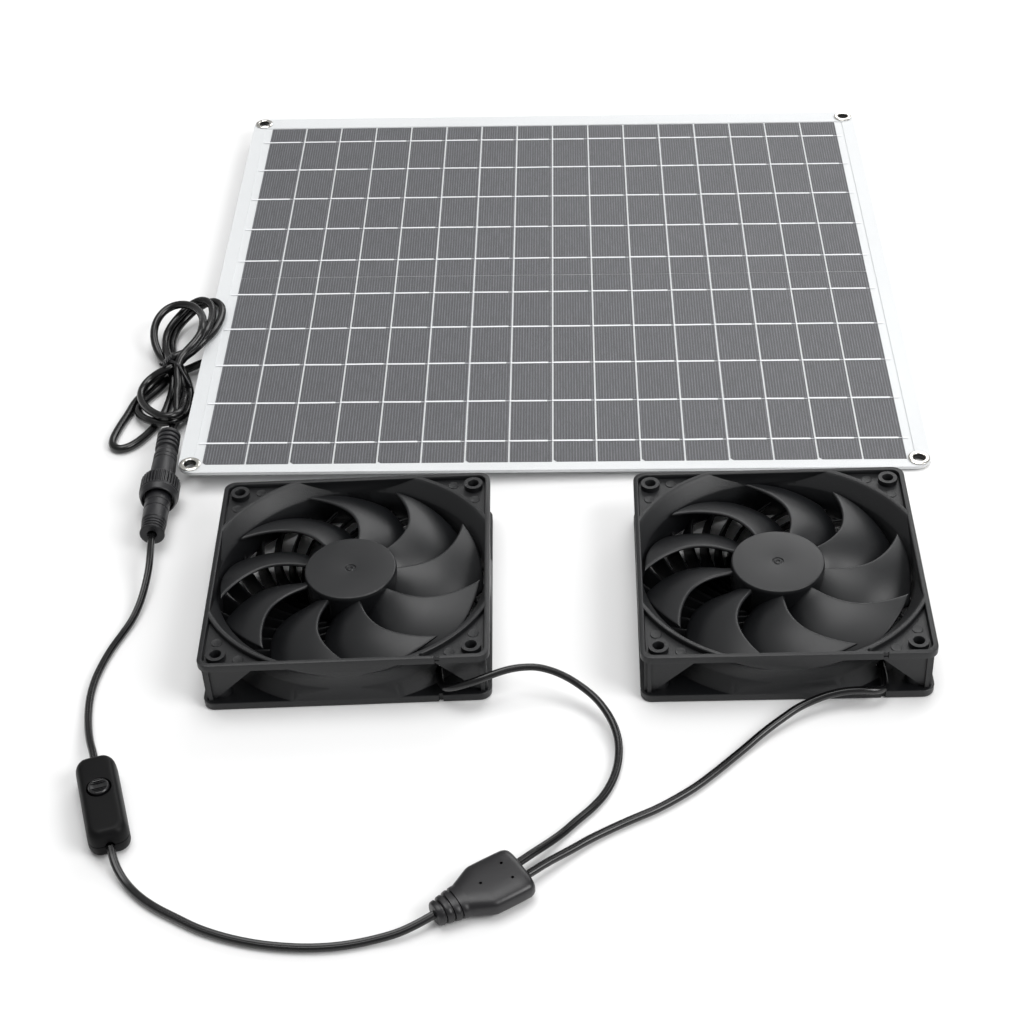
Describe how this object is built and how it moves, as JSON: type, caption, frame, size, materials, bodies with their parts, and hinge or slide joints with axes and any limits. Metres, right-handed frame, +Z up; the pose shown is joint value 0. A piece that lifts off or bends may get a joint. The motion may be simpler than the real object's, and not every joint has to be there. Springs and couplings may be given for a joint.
{
  "type": "solar attic fan",
  "caption": "Flat solar panel wired through a bundled lead, screw connector, in-line switch and Y-splitter to a pair of square axial ventilation fans.",
  "frame": {"origin": "on the ground plane, at the middle of the box around the panel and the two fans", "axes": "+Z up, +Y from the fans towards the panel's far edge, +X to the right when the fans are in front"},
  "size_m": [0.3918, 0.6087, 0.025],
  "materials": {
    "white_board": "white glass-fibre backing sheet, faint weave",
    "solar_cell": "dark grey silicon under resin, fine finger lines",
    "tinned_ribbon": "tinned copper ribbon, slightly wavy",
    "clear_film": "clear satin front film",
    "nickel_eyelet": "nickel-plated pressed eyelet",
    "black_box": "black moulded plastic",
    "component_body": "black epoxy",
    "fan_plastic": "black glass-filled plastic, fine moulded texture",
    "impeller_plastic": "black satin plastic",
    "motor_steel": "plain steel",
    "ferrite": "bonded ferrite",
    "copper_wire": "enamelled copper wire",
    "circuit_board": "green circuit board",
    "blank_label": "blank silver label",
    "cable_jacket": "black PVC jacket",
    "connector_plastic": "black nylon, knurled nut",
    "seal_rubber": "silicone seal",
    "contact_brass": "brass contacts",
    "switch_plastic": "black fine-textured plastic",
    "rocker_plastic": "black rocker",
    "tie_plastic": "black twist tie"
  },
  "bodies": {
    "base": {"backing_board": "white_board", "base_label_left": "blank_label", "base_label_right": "blank_label", "bearing_lower_left": "motor_steel", "bearing_lower_right": "motor_steel", "bearing_upper_left": "motor_steel", "bearing_upper_right": "motor_steel", "busbars_front": "tinned_ribbon", "busbars_rear": "tinned_ribbon", "bypass_diode": "component_body", "cell_string_front": "solar_cell", "cell_string_rear": "solar_cell", "connector_pins": "contact_brass", "connector_plug": "connector_plastic", "connector_seal_ring": "seal_rubber", "connector_socket": "connector_plastic", "eyelet_1": "nickel_eyelet", "eyelet_2": "nickel_eyelet", "eyelet_3": "nickel_eyelet", "eyelet_4": "nickel_eyelet", "fan_frame_left": "fan_plastic", "fan_frame_right": "fan_plastic", "fan_lead_left": "cable_jacket", "fan_lead_right": "cable_jacket", "front_film": "clear_film", "junction_box_base": "black_box", "junction_box_lid": "black_box", "motor_circuit_board_left": "circuit_board", "motor_circuit_board_right": "circuit_board", "panel_cable_gland": "black_box", "panel_lead_end": "cable_jacket", "panel_lead_hank": "cable_jacket", "panel_lead_start": "cable_jacket", "retaining_clip_left": "motor_steel", "retaining_clip_right": "motor_steel", "splitter_lead": "cable_jacket", "stator_core_left": "motor_steel", "stator_core_right": "motor_steel", "stator_windings_left": "copper_wire", "stator_windings_right": "copper_wire", "switch_contacts": "contact_brass", "switch_lead": "cable_jacket", "switch_lower_shell": "switch_plastic", "switch_screw_1": "motor_steel", "switch_screw_2": "motor_steel", "switch_upper_shell": "switch_plastic", "twist_tie": "tie_plastic", "y_splitter": "switch_plastic"},
    "rotor_left": {"impeller_left": "impeller_plastic", "rotor_yoke_left": "motor_steel", "magnet_ring_left": "ferrite", "motor_shaft_left": "motor_steel"},
    "rotor_right": {"impeller_right": "impeller_plastic", "rotor_yoke_right": "motor_steel", "magnet_ring_right": "ferrite", "motor_shaft_right": "motor_steel"},
    "rocker": {"switch_rocker": "rocker_plastic"},
    "nut": {"union_nut": "connector_plastic"}
  },
  "joints": [
    {"name": "impeller_left_spin", "type": "hinge", "parent": "base", "child": "rotor_left", "pos_m": [-0.0865, -0.1787, 0.012], "axis": [0, 0, 1], "continuous": true},
    {"name": "impeller_right_spin", "type": "hinge", "parent": "base", "child": "rotor_right", "pos_m": [0.09624, -0.1815, 0.012], "axis": [0, 0, 1], "continuous": true},
    {"name": "switch_rocker_tilt", "type": "hinge", "parent": "base", "child": "rocker", "pos_m": [-0.17804, -0.29304, 0.0098], "axis": [0.9555, 0.295, 0], "range_deg": [-6, 6]},
    {"name": "union_nut_turn", "type": "hinge", "parent": "base", "child": "nut", "pos_m": [-0.1822, -0.10557, 0.00975], "axis": [0.0382, -0.9993, 0], "continuous": true}
  ]
}
